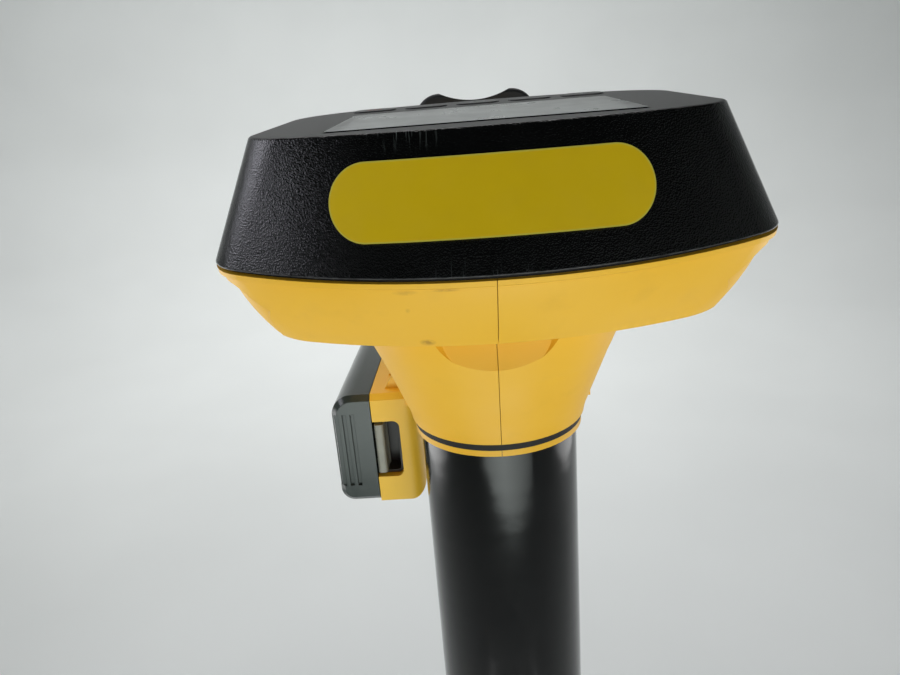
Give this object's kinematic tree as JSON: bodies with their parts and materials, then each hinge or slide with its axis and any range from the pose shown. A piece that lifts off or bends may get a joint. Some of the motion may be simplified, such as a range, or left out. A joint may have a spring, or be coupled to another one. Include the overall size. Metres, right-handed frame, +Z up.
{
  "type": "cable locator",
  "caption": "Hand-held cable locator: a sloping display head with keys on a round antenna mast, a rear hand grip and a hinged battery bay beside the mast.",
  "frame": {"origin": "middle of the foot pad's flat lower face, on the axis of the mast", "axes": "+Z up the mast to the head; -Y to the front, where the name plate is; +Y to the hand grip; -X to the battery bay"},
  "size_m": [0.132, 0.2735, 0.6933],
  "materials": {
    "yellow_plastic": "satin moulded plastic",
    "bezel_plastic": "leather-grained moulded plastic",
    "plate_film": "printed film, smooth",
    "seal_rubber": "smooth",
    "window_glass": "clear, polished",
    "display": "reflective grey display",
    "board": "solder mask",
    "chip": "moulded",
    "steel": "plated",
    "spring_metal": "nickel plated",
    "key_rubber": "moulded silicone",
    "grip_rubber": "fine-grained",
    "mast_tube": "gloss composite tube",
    "black_plastic": "moulded",
    "lever_plastic": "moulded",
    "spine_plastic": "natural nylon",
    "ferrite": "pressed and fired",
    "copper": "enamelled wire",
    "lead_rubber": "jacketed lead",
    "cell_wrap": "shrink wrap",
    "foam": "closed-cell foam"
  },
  "bodies": {
    "instrument": {"left_housing": "yellow_plastic", "right_housing": "yellow_plastic", "battery_cradle": "yellow_plastic", "bezel": "bezel_plastic", "name_plate": "plate_film", "head_gasket": "seal_rubber", "neck_band": "seal_rubber", "display_window": "window_glass", "lcd_module": "display", "main_board": "board", "board_chips": "chip", "board_screws": "steel", "bezel_screws": "steel", "housing_screws": "steel", "foot_screws": "steel", "cradle_screws": "steel", "cover_hinge_pin": "steel", "latch_pin": "steel", "flap_pin": "steel", "charge_port": "steel", "dome_switches": "spring_metal", "cell_springs": "spring_metal", "cell_contact": "spring_metal", "latch_spring": "spring_metal", "accessory_jack": "spring_metal", "handle_grip": "grip_rubber", "foot_pad": "grip_rubber", "mast": "mast_tube", "latch_case": "black_plastic", "handle_end_cap": "black_plastic", "foot_cup": "black_plastic", "speaker": "black_plastic", "antenna_spine": "spine_plastic", "spine_spacers": "spine_plastic", "lower_ferrite": "ferrite", "upper_ferrite": "ferrite", "lower_windings": "copper", "upper_windings": "copper", "null_coil": "copper", "antenna_lead": "lead_rubber", "battery_cells": "cell_wrap"},
    "cover": {"battery_cover": "black_plastic", "cell_pad": "foam"},
    "latch": {"latch_lever": "lever_plastic"},
    "flap": {"port_flap": "key_rubber"},
    "button_power": {"key_power": "key_rubber"},
    "button_info": {"key_info": "key_rubber"},
    "button_enter": {"key_enter": "key_rubber"},
    "button_minus": {"key_minus": "key_rubber"},
    "button_plus": {"key_plus": "key_rubber"}
  },
  "joints": [
    {"name": "cover_swing", "type": "hinge", "parent": "instrument", "child": "cover", "pos_m": [-0.0453, 0.1123, 0.5696], "axis": [0, 0, -1], "range_deg": [0, 110]},
    {"name": "latch_turn", "type": "hinge", "parent": "instrument", "child": "latch", "pos_m": [-0.04315, 0.0306, 0.56945], "axis": [0, 0, 1], "range_deg": [0, 15], "stiffness_Nm_per_rad": 0.05, "springref_deg": -8.59},
    {"name": "flap_swing", "type": "hinge", "parent": "instrument", "child": "flap", "pos_m": [0.014, 0.05355, 0.6002], "axis": [-1, 0, 0], "range_deg": [0, 110]},
    {"name": "press_power", "type": "slide", "parent": "instrument", "child": "button_power", "axis": [0, 0.0698, -0.9976], "range_m": [0, 0.0009], "stiffness_N_per_m": 1500, "springref_m": -0.0003},
    {"name": "press_info", "type": "slide", "parent": "instrument", "child": "button_info", "axis": [0, 0.0698, -0.9976], "range_m": [0, 0.0009], "stiffness_N_per_m": 1500, "springref_m": -0.0003},
    {"name": "press_enter", "type": "slide", "parent": "instrument", "child": "button_enter", "axis": [0, 0.0698, -0.9976], "range_m": [0, 0.0009], "stiffness_N_per_m": 1500, "springref_m": -0.0003},
    {"name": "press_minus", "type": "slide", "parent": "instrument", "child": "button_minus", "axis": [0, 0.0698, -0.9976], "range_m": [0, 0.0009], "stiffness_N_per_m": 1500, "springref_m": -0.0003},
    {"name": "press_plus", "type": "slide", "parent": "instrument", "child": "button_plus", "axis": [0, 0.0698, -0.9976], "range_m": [0, 0.0009], "stiffness_N_per_m": 1500, "springref_m": -0.0003}
  ]
}
